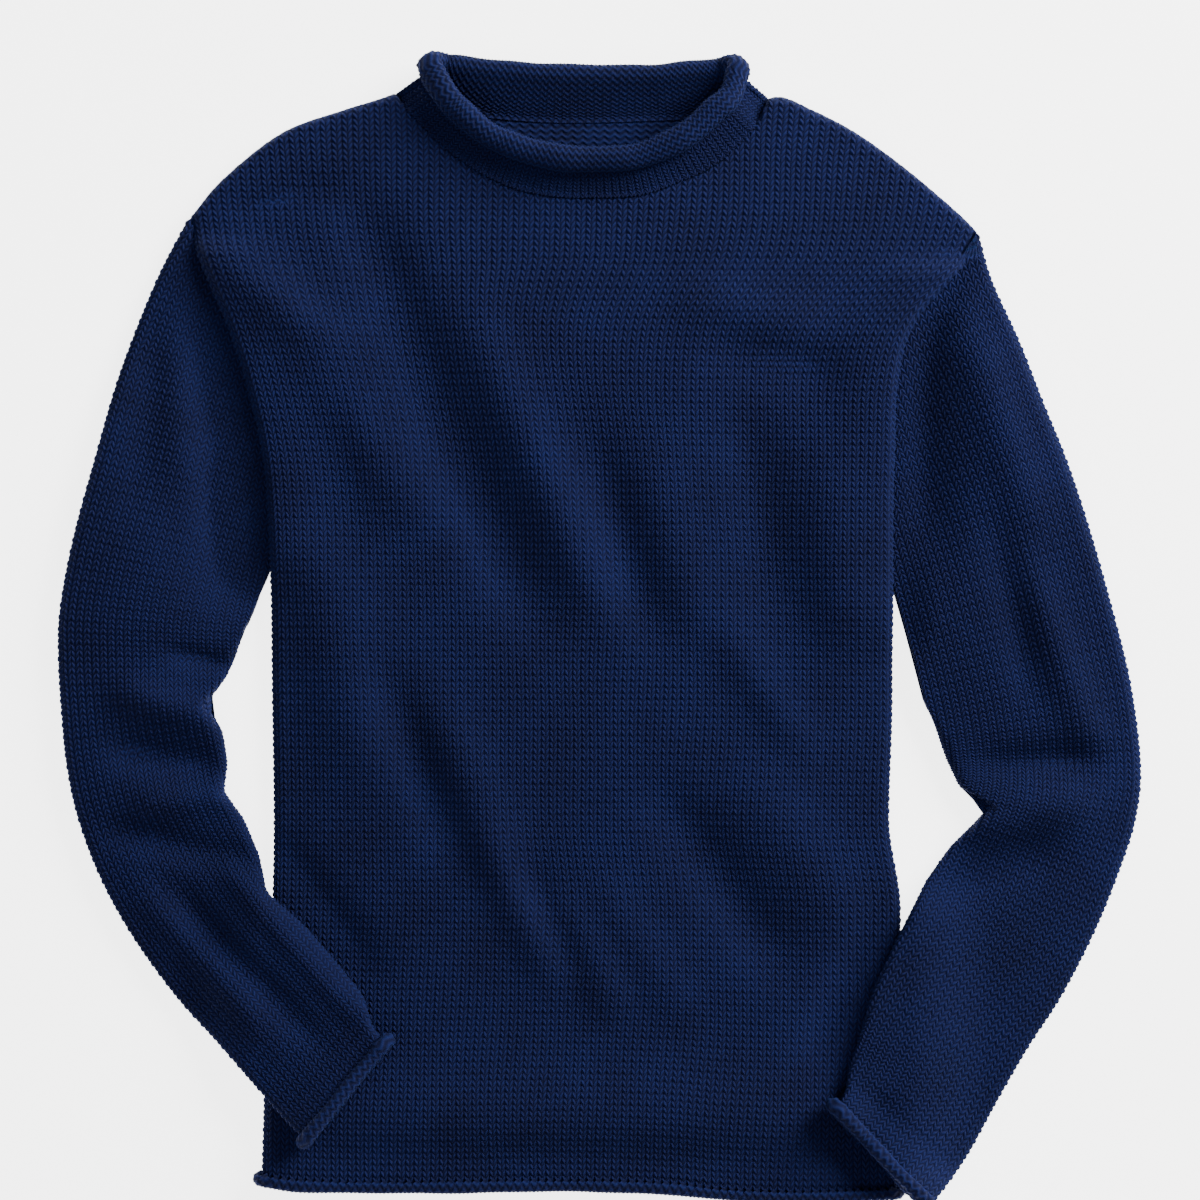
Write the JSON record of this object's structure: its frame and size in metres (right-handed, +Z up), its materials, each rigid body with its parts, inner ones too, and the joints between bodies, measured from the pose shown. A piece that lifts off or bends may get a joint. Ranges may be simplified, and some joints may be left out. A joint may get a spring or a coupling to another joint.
{
  "type": "roll-neck sweater",
  "caption": "Long-sleeved knitted sweater laid flat, with a short stand collar, hem and cuffs that roll outwards.",
  "frame": {"origin": "under the middle of the garment, on the surface it lies on", "axes": "+Z up from the surface through the front, +Y from the hem towards the neck, +X towards the sleeve on the viewer's right"},
  "size_m": [0.6581, 0.7046, 0.0437],
  "materials": {
    "knit": "matte"
  },
  "bodies": {
    "root": {"back": "knit", "front": "knit", "sleeve_left": "knit", "sleeve_right": "knit", "collar": "knit"}
  },
  "joints": []
}
